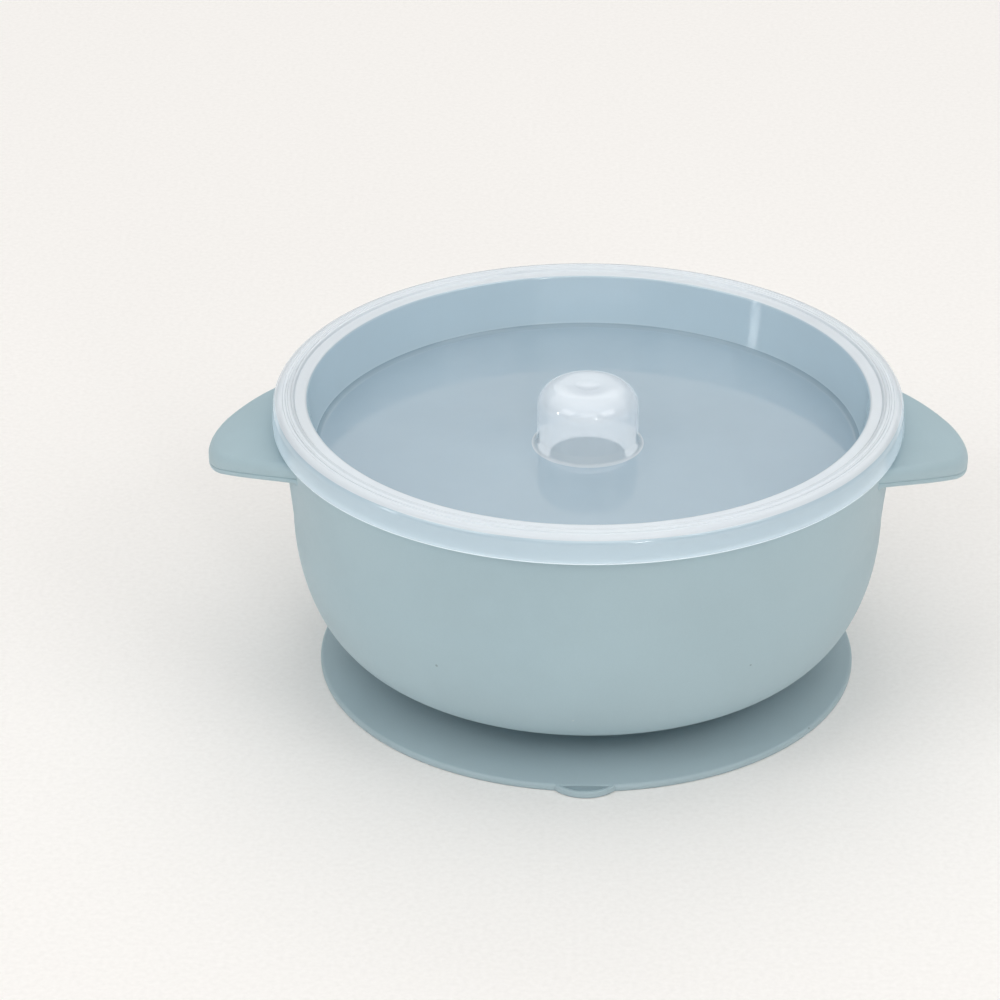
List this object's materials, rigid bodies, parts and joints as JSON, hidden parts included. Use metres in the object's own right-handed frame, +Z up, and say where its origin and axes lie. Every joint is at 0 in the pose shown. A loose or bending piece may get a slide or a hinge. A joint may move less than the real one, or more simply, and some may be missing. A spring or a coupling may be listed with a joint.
{
  "type": "suction bowl",
  "caption": "Soft silicone feeding bowl for a small child, with ear tabs, a suction disc with a pull tab, and a translucent press-on lid with a hollow knob.",
  "frame": {"origin": "on the bowl's axis in the plane of the table that the suction disc rests on", "axes": "+Z up along the bowl's axis, the two ears along -X and +X, the pull tab along -Y"},
  "size_m": [0.1538, 0.128, 0.0626],
  "materials": {
    "base_silicone": "satin matte blue-grey silicone",
    "bowl_silicone": "satin matte blue-grey silicone",
    "lid_silicone": "milky translucent silicone, smooth"
  },
  "bodies": {
    "base": {"suction_base": "base_silicone"},
    "tab": {"pull_tab": "base_silicone"},
    "bowl": {"bowl": "bowl_silicone"},
    "lid": {"lid": "lid_silicone"}
  },
  "joints": [
    {"name": "press_down", "type": "slide", "parent": "base", "child": "bowl", "axis": [0, 0, 1], "range_m": [-0.0025, 0], "stiffness_N_per_m": 1500, "springref_m": 0.0035, "deforming": ["suction_base"]},
    {"name": "lid_lift", "type": "slide", "parent": "bowl", "child": "lid", "axis": [0, 0, 1], "range_m": [0, 0.06]},
    {"name": "pull_tab_lift", "type": "hinge", "parent": "base", "child": "tab", "pos_m": [0, -0.0551, 0.00135], "axis": [-1, 0, 0], "range_deg": [0, 60], "stiffness_Nm_per_rad": 0.0005, "springref_deg": -11.46}
  ]
}
